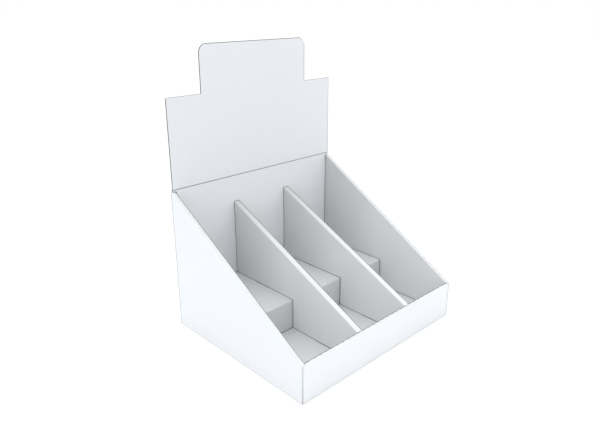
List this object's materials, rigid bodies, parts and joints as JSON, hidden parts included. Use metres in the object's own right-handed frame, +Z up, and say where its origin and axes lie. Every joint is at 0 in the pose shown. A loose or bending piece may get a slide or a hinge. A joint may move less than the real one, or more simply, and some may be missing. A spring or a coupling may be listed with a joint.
{
  "type": "cardboard counter display stand",
  "caption": "White cardboard counter display: open tray with sloping sides and a low front, a tall header card with a rounded tab, a stepped insert and sloping dividers.",
  "frame": {"origin": "on the table, under the middle of the tray", "axes": "+X across the bays to the right as seen from the front, +Y from the low front wall to the back wall, +Z up"},
  "size_m": [0.2, 0.1706, 0.261],
  "materials": {
    "tray_board": "white lined corrugated board, matt",
    "header_card": "solid white card, matt",
    "insert_board": "white lined fine-flute board, matt",
    "divider_board": "white lined corrugated board, matt"
  },
  "bodies": {
    "root": {"display_tray": "tray_board", "header_card": "header_card", "step_insert": "insert_board", "divider_left": "divider_board", "divider_right": "divider_board"}
  },
  "joints": []
}
